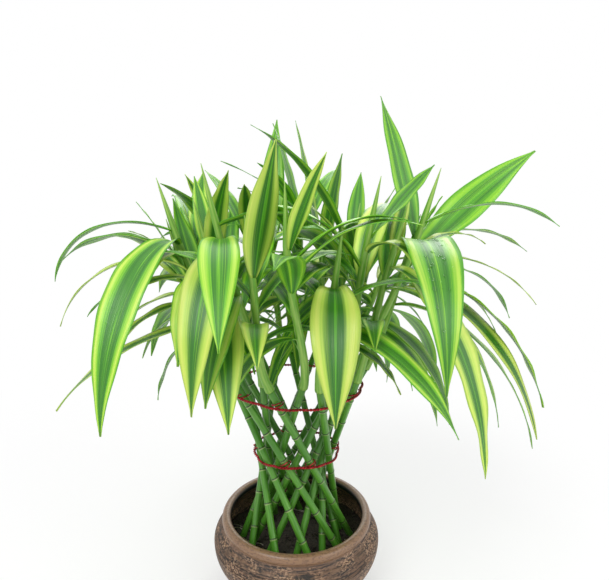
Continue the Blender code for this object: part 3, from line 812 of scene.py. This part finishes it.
@dataclass
class Shoots:
    """The leafy shoots: a sheathed stem with a rolled young leaf on top, and its blades."""

    sides: int = 12
    stations: int = 48
    across: int = 8
    along: int = 30
    fold: float = 0.16
    thickness: float = 0.0005
    drops: int = 46
    stem_finish: StemFinish = field(default_factory=StemFinish)
    leaf_finish: LeafFinish = field(default_factory=LeafFinish)

    def tree(self, node: str) -> BVHTree:
        """A search tree of a solid shoot."""
        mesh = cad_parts[node].data
        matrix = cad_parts[node].matrix_world
        points = [matrix @ vertex.co for vertex in mesh.vertices]
        return BVHTree.FromPolygons(points, [tuple(face.vertices) for face in mesh.polygons])

    def place_leaf(self, leaf: Leaf, path: Sequence[Vector],
                   tree: BVHTree) -> Optional[tuple[Leaf, list[tuple[Vector, Vector, Vector]]]]:
        """Finds how the solid leaf was turned or lifted, so that this one lies along it.

        Args:
            leaf: the leaf before any turn or lift.
            path: the centres of the shoot's rings.
            tree: the solid shoot.

        Returns:
            The leaf and its spine, or None where the solid shoot has no such leaf.
        """
        for turn, lift in LEAF_SHIFTS:
            tried = replace(leaf, heading=leaf.heading + turn, rise=leaf.rise + lift)
            middle = (path[leaf.ring + 1] + path[leaf.ring]) / 2
            root = middle + on_circle(stem_radius(leaf.ring), tried.heading)
            spine = leaf_spine(tried, root)
            reach = [tree.find_nearest(spine_at(spine, share)[0])[3] for share in LEAF_STATIONS]
            if max(reach) < SOLID_REACH:
                return tried, spine
        return None

    def add_blade(self, builder: Builder, leaf: Leaf, spine: Sequence[tuple[Vector, Vector, Vector]],
                  rng: random.Random) -> None:
        """Bends a flat grid along a leaf's spine, folded down its middle and a little wavy.

        Args:
            builder: the piece that the leaf joins.
            leaf: the leaf's size and marking.
            spine: the leaf's middle line with its directions.
            rng: the source of small differences.
        """
        made = bmesh.ops.create_grid(builder.bm, x_segments=self.across, y_segments=self.along,
                                     size=0.5, calc_uvs=True)["verts"]
        amount = leaf.dress.value + 0.18 * (rng.random() - 0.5)
        light, seed = 0.35 + 0.3 * rng.random(), rng.random()
        waves, phase, depth = 2.0 + 3.0 * rng.random(), rng.random() * math.tau, 0.012 + 0.02 * rng.random()
        faces = {face for vertex in made for face in vertex.link_faces}
        for face in faces:
            face.smooth = True
            for loop in face.loops:
                u, v = loop.vert.co.x + 0.5, loop.vert.co.y + 0.5
                loop[builder.uv].uv = (u, v * leaf.length / 0.18)
                loop[builder.tone] = (min(max(amount, 0.0), 1.0), light, seed, 1.0)
        for vertex in made:
            across, share = vertex.co.x * 2.0, vertex.co.y + 0.5
            centre, side, up = spine_at(spine, share)
            half = leaf.width * leaf_width(share) / 2.0
            cup = self.fold * (1.0 - 0.55 * share) * (1.0 + 1.6 * (1.0 - share) ** 6)
            lift = abs(across) ** 1.3 * cup
            ripple = depth * math.sin(waves * math.tau * share + phase + 1.2 * across) * across * across
            spread = math.cos(cup * abs(across))
            vertex.co = centre + side * (half * across * spread) + up * (half * lift + leaf.width * ripple)

    def add_drops(self, builder: Builder, leaf: Leaf, spine: Sequence[tuple[Vector, Vector, Vector]],
                  rng: random.Random) -> None:
        """Scatters flat water drops over the upper side of a leaf."""
        for _ in range(self.drops):
            share, across = rng.uniform(0.25, 0.85), rng.uniform(-0.6, 0.6)
            centre, side, up = spine_at(spine, share)
            half = leaf.width * leaf_width(share) / 2.0
            cup = self.fold * (1.0 - 0.55 * share)
            lift = half * abs(across) ** 1.3 * cup + self.thickness / 2
            spot = centre + side * (half * across) + up * lift
            ahead = up.cross(side)
            turn = Matrix((side, ahead, up)).transposed().to_4x4()
            size = 0.0006 + 0.0011 * rng.random() ** 2
            flat = Matrix.Diagonal((1.0, 1.0 + 0.3 * rng.random(), 0.5, 1.0))
            bmesh.ops.create_icosphere(builder.bm, subdivisions=2, radius=size,
                                       matrix=Matrix.Translation(spot) @ turn @ flat)

    def build(self) -> None:
        """Builds and dresses every shoot."""
        stem_skin, leaf_skin = self.stem_finish.material(), self.leaf_finish.material()
        drops = Builder("water_drops")
        for ring in RINGS:
            for number in range(CANES_A_RING):
                name = f"shoot_{ring.name}_{number + 1:02d}"
                rng = random.Random(100 * ring.lean + number)
                path, tree = ring.shoot_path(number), self.tree(name)
                grown = [found for leaf in ring.leaves(number)
                         if (found := self.place_leaf(leaf, path, tree))]
                self.build_stem(ring, number, name, grown, stem_skin)
                blades = Builder(f"{name}_leaves")
                for leaf, spine in grown:
                    self.add_blade(blades, leaf, spine, rng)
                    if leaf.wet:
                        self.add_drops(drops, leaf, spine, rng)
                piece = blades.object(leaf_skin, outward=False)
                wall = piece.modifiers.new("Thickness", "SOLIDIFY")
                wall.thickness, wall.offset = self.thickness, 0.0
                finish_piece(piece, "leaf_green")
                LOG.info("%s carries %d leaves", name, len(grown))
        for face in drops.bm.faces:
            face.smooth = True
        finish_piece(drops.object(WaterFinish().material()), "leaf_green")

    def build_stem(self, ring: CaneRing, number: int, name: str,
                   grown: Sequence[tuple[Leaf, list[tuple[Vector, Vector, Vector]]]],
                   skin: bpy.types.Material) -> None:
        """Builds one stem: each sheath steps in under the one above, and the tip is rolled."""
        at = ring.shoot_curve(number)
        joints = sorted((leaf.ring + 0.5) / (SHOOT_RINGS - 1) for leaf, _ in grown)
        points, radii = [], []
        for step in range(self.stations + 1):
            share = step / self.stations
            below = [joint for joint in joints if joint <= share]
            since = share - below[-1] if below else share
            points.append(at(share))
            radii.append(stem_radius(share * (SHOOT_RINGS - 1)) * (1.04 - 1.2 * min(since, 0.10)))
        direction = (at(1.0) - at(0.98)).normalized()
        for share in (0.15, 0.35, 0.55, 0.75, 0.9, 1.0):
            points.append(at(1.0) + direction * SPEAR_LENGTH * share)
            radii.append(max(stem_radius(SHOOT_RINGS - 1) * (1.0 - share) ** 0.7, 0.0003))
        builder = Builder(f"{name}_stem")
        builder.loft(points, radii, self.sides)
        finish_piece(builder.object(skin), "leaf_green", name)


# ------------------------------------------------------------------ ties


@dataclass
class Tie:
    """A tie of two wires twisted together, drawn tight round the outer canes."""

    name: str
    height: float
    twist: float = 0.0065
    strand: float = 0.00075
    stations: int = 420
    hooks: tuple[int, ...] = (0, 1, 3, 6, 8)
    hook_steps: int = 30

    def centre(self, angle: float) -> Vector:
        """The tie's middle at an angle: out over each cane and in between them."""
        nearest, best = 0.0, 1e9
        for number in range(CANES_A_RING):
            point = OUTER.cane_point(number, self.height)
            at = math.atan2(point.y, point.x)
            apart = math.remainder(angle - at, math.tau)
            if abs(apart) < abs(best):
                best, nearest = apart, point.xy.length
        share = abs(best) / (math.pi / CANES_A_RING)
        reach = nearest + CANE_RADIUS * 1.3 + self.strand
        radius = reach * (1.0 - 0.035 * share ** 2)
        height = self.height + 0.0012 * math.sin(3 * angle + self.height * 300)
        return Vector((radius * math.cos(angle), radius * math.sin(angle), height))

    def build(self, skin: bpy.types.Material) -> None:
        """Builds the twisted pair and its hooks round the canes."""
        builder = Builder(f"{self.name}_wire")
        girth = math.tau * self.centre(0.0).xy.length
        turns = round(girth / self.twist)
        for strand in (0.0, math.pi):
            points = []
            for step in range(self.stations):
                angle = math.tau * step / self.stations
                centre = self.centre(angle)
                out = Vector((math.cos(angle), math.sin(angle), 0.0))
                turn = turns * angle + strand
                points.append(centre + out * (self.strand * math.cos(turn))
                              + Vector((0.0, 0.0, self.strand * math.sin(turn))))
            builder.loft(points, [self.strand] * len(points), 7, closed=True)
        for number in self.hooks:
            self.add_hook(builder, number)
        finish_piece(builder.object(skin), "red_wire", self.name)

    def add_hook(self, builder: Builder, number: int) -> None:
        """Winds a short loop of wire round one cane, from the tie upwards."""
        axis = OUTER.cane_direction(number)
        out = OUTER.cane_point(number, self.height).normalized()
        out = Vector((out.x, out.y, 0.0)).normalized()
        across = axis.cross(out).normalized()
        points = []
        for step in range(self.hook_steps + 1):
            share = step / self.hook_steps
            angle = math.tau * (1.35 * share - 0.2)
            centre = OUTER.cane_point(number, self.height + self.strand + 0.0042 * share)
            reach = CANE_RADIUS * 1.08 + self.strand * (1.6 + 1.5 * max(share - 0.85, 0.0) / 0.15)
            points.append(centre + (out * math.cos(angle) + across * math.sin(angle)) * reach)
        builder.loft(points, [self.strand * 0.85] * len(points), 7)


# ------------------------------------------------------------------ pot and bed


@dataclass
class Pot:
    """The squat pot, turned with a rounded lip and a combed body."""

    height: float = 0.078
    lip_radius: float = 0.0812
    mouth_radius: float = 0.0714
    belly_radius: float = 0.090
    belly_height: float = 0.050
    belly_drop: float = 0.056
    wall: float = 0.007
    foot_radius: float = 0.048
    floor: float = 0.009
    steps: int = 128
    floor_reach: float = 0.034
    inner_angle: float = 56.0
    inner_steps: int = 14
    lip_rise: float = 0.0052
    lip_steps: int = 16
    neck_width: float = 0.0035
    neck_drop: float = 0.011
    under_lip: tuple[tuple[float, float], ...] = ((0.0030, 0.0108), (0.0016, 0.0122))
    shoulder_angle: float = 62.0
    shoulder_rise: float = 0.0135
    shoulder_draw: float = 0.0095
    shoulder_power: float = 2.4
    lower_angle: float = -54.0
    foot_bevel: tuple[float, float] = (0.001, 0.0015)
    comb_rows: int = 46
    comb_depth: float = 0.00035
    finish: GlazeFinish = field(default_factory=GlazeFinish)

    def inside(self) -> list[Vector]:
        """The section's points over the floor and up the inside of the belly."""
        points = [Vector((0.0, 0.0, self.floor)), Vector((self.floor_reach, 0.0, self.floor))]
        inner, drop = self.belly_radius - self.wall, self.belly_drop - self.wall
        for step in range(self.inner_steps + 1):
            angle = math.radians(-self.inner_angle + self.inner_angle * step / self.inner_steps)
            points.append(Vector((inner * math.cos(angle), 0.0, self.belly_height + drop * math.sin(angle))))
        points.append(Vector((self.mouth_radius + self.neck_width, 0.0, self.height - self.neck_drop)))
        return points

    def lip(self) -> list[Vector]:
        """The section's points over the rounded lip and in under it."""
        middle = (self.mouth_radius + self.lip_radius) / 2
        half = (self.lip_radius - self.mouth_radius) / 2
        points = []
        for step in range(self.lip_steps + 1):
            angle = math.radians(205 - 250 * step / self.lip_steps)
            points.append(Vector((middle + half * math.cos(angle), 0.0,
                                  self.height - self.lip_rise + self.lip_rise * math.sin(angle))))
        for across, down in self.under_lip:
            points.append(Vector((self.lip_radius - across, 0.0, self.height - down)))
        return points

    def combed(self) -> list[Vector]:
        """The section's points down the outside, with a groove between each two rows."""
        points = []
        rng = random.Random(8)
        start, end = math.radians(self.shoulder_angle), math.radians(self.lower_angle)
        for step in range(self.comb_rows * 2 + 1):
            angle = start + (end - start) * step / (self.comb_rows * 2)
            groove = self.comb_depth * (0.4 + 1.2 * rng.random()) if step % 2 else 0.0
            if angle > 0:
                rise = self.shoulder_rise
                reach = self.belly_radius - self.shoulder_draw * (angle / start) ** self.shoulder_power
            else:
                rise = self.belly_drop
                reach = self.belly_radius * math.cos(angle)
            points.append(Vector((reach - groove, 0.0, self.belly_height + rise * math.sin(angle))))
        return points

    def outline(self) -> list[Vector]:
        """The whole section: up the inside, over the lip, down the outside and under the foot."""
        out, up = self.foot_bevel
        foot = [Vector((self.foot_radius + out, 0.0, up)), Vector((self.foot_radius, 0.0, 0.0)),
                Vector((0.0, 0.0, 0.0))]
        return self.inside() + self.lip() + self.combed() + foot

    def build(self) -> None:
        """Turns the pot."""
        builder = Builder("pot_turned")
        bm = builder.bm
        corners = [bm.verts.new(point) for point in self.outline()]
        edges = [bm.edges.new(pair) for pair in zip(corners, corners[1:])]
        bmesh.ops.spin(bm, geom=corners + edges, cent=(0, 0, 0), axis=(0, 0, 1), angle=math.tau,
                       steps=self.steps, use_merge=True)
        bmesh.ops.remove_doubles(bm, verts=bm.verts, dist=0.00001)
        for face in bm.faces:
            face.smooth = True
        finish_piece(builder.object(self.finish.material()), "brown_glaze", "pot")


@dataclass
class Bed:
    """The potting mix: a dark crowned bed with coarse grains and pale roots on it."""

    top: float = 0.043
    crown: float = 0.002
    radius: float = 0.0815
    cells: int = 56
    edge_share: float = 0.985
    skirt_share: float = 0.62
    skirt_height: float = 0.0098
    grains: int = 520
    grain_reach: float = 0.079
    grain_least: float = 0.0008
    grain_spread: float = 0.0018
    roots: int = 26
    root_steps: int = 12
    root_step: float = 0.0028
    root_radius: float = 0.00055
    root_reach: float = 0.078

    def height(self, x: float, y: float) -> float:
        """The bed's surface at a point."""
        reach = math.hypot(x, y) / self.radius
        bumps = 0.0009 * math.sin(170 * x + 60 * y) + 0.0008 * math.sin(210 * y - 90 * x + 1.0)
        return self.top + self.crown * (1.0 - reach ** 2) + bumps

    def build(self) -> None:
        """Builds the bed, its grains and its roots."""
        mix = PlainFinish("mix_dark", (0.010, 0.008, 0.006), (0.050, 0.038, 0.026), 0.95,
                          scale=700.0).material()
        builder = Builder("mix_bed")
        bm = builder.bm
        made = bmesh.ops.create_grid(bm, x_segments=self.cells, y_segments=self.cells, size=0.5)["verts"]
        reach = self.radius * self.edge_share
        for vertex in made:
            x, y = vertex.co.x * 2, vertex.co.y * 2
            x, y = reach * x * math.sqrt(1 - y * y / 2), reach * y * math.sqrt(1 - x * x / 2)
            vertex.co = Vector((x, y, self.height(x, y)))
        rim = [edge for edge in bm.edges if edge.is_boundary]
        skirt = [item for item in bmesh.ops.extrude_edge_only(bm, edges=rim)["geom"]
                 if isinstance(item, bmesh.types.BMVert)]
        for vertex in skirt:
            vertex.co = Vector((vertex.co.x * self.skirt_share, vertex.co.y * self.skirt_share,
                                self.skirt_height))
        bmesh.ops.contextual_create(bm, geom=[edge for edge in bm.edges if edge.is_boundary])
        for face in bm.faces:
            face.smooth = True
        finish_piece(builder.object(mix), "potting_mix", "potting_mix")
        self.build_grains(mix)
        self.build_roots()

    def build_grains(self, mix: bpy.types.Material) -> None:
        """Scatters bark and grit over the bed."""
        rng = random.Random(21)
        builder = Builder("mix_grains")
        for _ in range(self.grains):
            spot = on_circle(self.grain_reach * math.sqrt(rng.random()), 360 * rng.random())
            size = self.grain_least + self.grain_spread * rng.random() ** 2
            axis = Vector((rng.random(), rng.random(), rng.random() + 0.1))
            turn = Matrix.Rotation(rng.random() * math.tau, 4, axis)
            stretch = Matrix.Diagonal((1.0 + rng.random(), 1.0, 0.6, 1.0))
            spot.z = self.height(spot.x, spot.y) + size * 0.2
            matrix = Matrix.Translation(spot) @ turn @ stretch
            bmesh.ops.create_icosphere(builder.bm, subdivisions=1, radius=size, matrix=matrix)
        finish_piece(builder.object(mix), "potting_mix")

    def build_roots(self) -> None:
        """Lays pale thin roots over the bed."""
        pale = PlainFinish("root_pale", (0.28, 0.25, 0.20), (0.50, 0.47, 0.40), 0.8).material()
        rng = random.Random(5)
        builder = Builder("surface_roots")
        for _ in range(self.roots):
            angle, reach = 360 * rng.random(), 0.040 + 0.022 * rng.random()
            heading = angle + rng.uniform(-100, 100)
            point, points = on_circle(reach, angle), []
            for _step in range(self.root_steps):
                if point.xy.length > self.root_reach:
                    break
                point.z = self.height(point.x, point.y) + 0.0008
                points.append(point.copy())
                heading += rng.uniform(-26, 26)
                point = point + on_circle(self.root_step, heading)
            if len(points) > 3:
                thin = [self.root_radius * (1.0 - 0.6 * step / len(points)) for step in range(len(points))]
                builder.loft(points, thin, 6)
        finish_piece(builder.object(pale), "potting_mix")


# ------------------------------------------------------------------ studio


def white_rays(tree: bpy.types.NodeTree) -> Socket:
    """1 for the rays that should meet plain white: the camera's, and those off or through a surface."""
    rays = tree.nodes.new("ShaderNodeLightPath")
    total = rays.outputs["Is Camera Ray"]
    for name in ("Is Glossy Ray", "Is Transmission Ray"):
        both = tree.nodes.new("ShaderNodeMath")
        both.operation, both.use_clamp = "ADD", True
        tree.links.new(total, both.inputs[0])
        tree.links.new(rays.outputs[name], both.inputs[1])
        total = both.outputs[0]
    return total


@dataclass
class Studio:
    """A pale floor, soft lamps and the camera."""

    camera_place: Vector = field(default_factory=lambda: Vector((0.0088, -0.466, 0.377)))
    camera_pitch: float = 7.0
    focal_length: float = 26.6
    sensor: float = 36.0
    floor_radius: float = 4.0
    shadow_reach: float = 0.9

    def build(self) -> None:
        """Builds the floor, the lamps, the world and the camera."""
        self.floor()
        self.lamp("key_lamp", (-0.9, -1.3, 1.9), 1.2, 26.0)
        self.lamp("fill_lamp", (1.4, -0.9, 1.1), 1.4, 11.0)
        self.lamp("back_lamp", (0.2, 1.5, 1.6), 1.2, 14.0)
        self.world()
        self.camera()
        bpy.context.scene.view_settings.view_transform = "Standard"

    def floor(self) -> None:
        """A white floor that fades into the white behind it and keeps the plant's shadow."""
        bm = bmesh.new()
        bmesh.ops.create_circle(bm, cap_ends=True, segments=64, radius=self.floor_radius)
        mesh = bpy.data.meshes.new("floor")
        bm.to_mesh(mesh)
        bm.free()
        graph = Graph("floor_white")
        graph.shader.inputs["Base Color"].default_value = (0.92, 0.92, 0.92, 1.0)
        graph.shader.inputs["Roughness"].default_value = 0.9
        seen = white_rays(graph.tree)
        reach = graph.add("ShaderNodeVectorMath", operation="LENGTH")
        graph.join(graph.place(), reach.inputs[0])
        far = graph.step(reach.outputs["Value"], self.shadow_reach * 0.35, self.shadow_reach)
        white = graph.add("ShaderNodeEmission")
        share = graph.maths("MULTIPLY", seen, graph.maths("ADD", graph.maths("MULTIPLY", far, 0.5), 0.5))
        mixed = graph.add("ShaderNodeMixShader")
        graph.join(share, mixed.inputs[0])
        graph.join(graph.shader.outputs[0], mixed.inputs[1])
        graph.join(white.outputs[0], mixed.inputs[2])
        graph.join(mixed.outputs[0], graph.tree.nodes["Material Output"].inputs[0])
        mesh.materials.append(graph.material)
        floor = bpy.data.objects.new("floor", mesh)
        bpy.context.scene.collection.objects.link(floor)
        floor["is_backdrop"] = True

    def lamp(self, name: str, place: tuple[float, float, float], size: float, power: float) -> None:
        """A square soft lamp aimed at the crown."""
        data = bpy.data.lights.new(name, "AREA")
        data.size, data.energy = size, power
        lamp = bpy.data.objects.new(name, data)
        lamp.location = place
        aim = Vector((0.0, 0.0, 0.3)) - lamp.location
        lamp.rotation_mode = "QUATERNION"
        lamp.rotation_quaternion = aim.to_track_quat("-Z", "Y")
        bpy.context.scene.collection.objects.link(lamp)

    def world(self) -> None:
        """White behind everything, and a soft grey-white light all round."""
        world = bpy.data.worlds.new("studio_world")
        bpy.context.scene.world = world
        world.use_nodes = True
        tree = world.node_tree
        soft = tree.nodes["Background"]
        soft.inputs["Color"].default_value = (1.0, 1.0, 1.0, 1.0)
        soft.inputs["Strength"].default_value = 0.55
        white = tree.nodes.new("ShaderNodeBackground")
        white.inputs["Color"].default_value = (1.0, 1.0, 1.0, 1.0)
        white.inputs["Strength"].default_value = 1.0
        mixed = tree.nodes.new("ShaderNodeMixShader")
        tree.links.new(white_rays(tree), mixed.inputs[0])
        tree.links.new(soft.outputs[0], mixed.inputs[1])
        tree.links.new(white.outputs[0], mixed.inputs[2])
        tree.links.new(mixed.outputs[0], tree.nodes["World Output"].inputs[0])

    def camera(self) -> None:
        """The camera, a little above the leaves and looking slightly down."""
        data = bpy.data.cameras.new("camera")
        data.sensor_width, data.lens = self.sensor, self.focal_length
        data.clip_start = 0.01
        camera = bpy.data.objects.new("camera", data)
        camera.location = self.camera_place
        camera.rotation_euler = (math.radians(90.0 - self.camera_pitch), 0.0, 0.0)
        bpy.context.scene.collection.objects.link(camera)
        bpy.context.scene.camera = camera


def write_sizes(before: tuple[Vector, Vector]) -> None:
    """Notes the solids' box and the finished object's box."""
    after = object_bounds()
    sizes = {"solids": [list(corner) for corner in before], "finished": [list(corner) for corner in after]}
    LOG.info("solids %s finished %s", sizes["solids"], sizes["finished"])


def main() -> None:
    """Builds every piece, then the studio round them."""
    logging.basicConfig(level=logging.INFO, format="%(message)s")
    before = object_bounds()
    Pot().build()
    Bed().build()
    Canes().build()
    Shoots().build()
    wire = PlainFinish("wire_red", (0.25, 0.010, 0.012), (0.48, 0.035, 0.045), 0.28, 0.75).material()
    for tie in (Tie("lower_tie", 0.146), Tie("upper_tie", 0.218)):
        tie.build(wire)
    Studio().build()
    write_sizes(before)


if __name__ == "__main__":
    main()
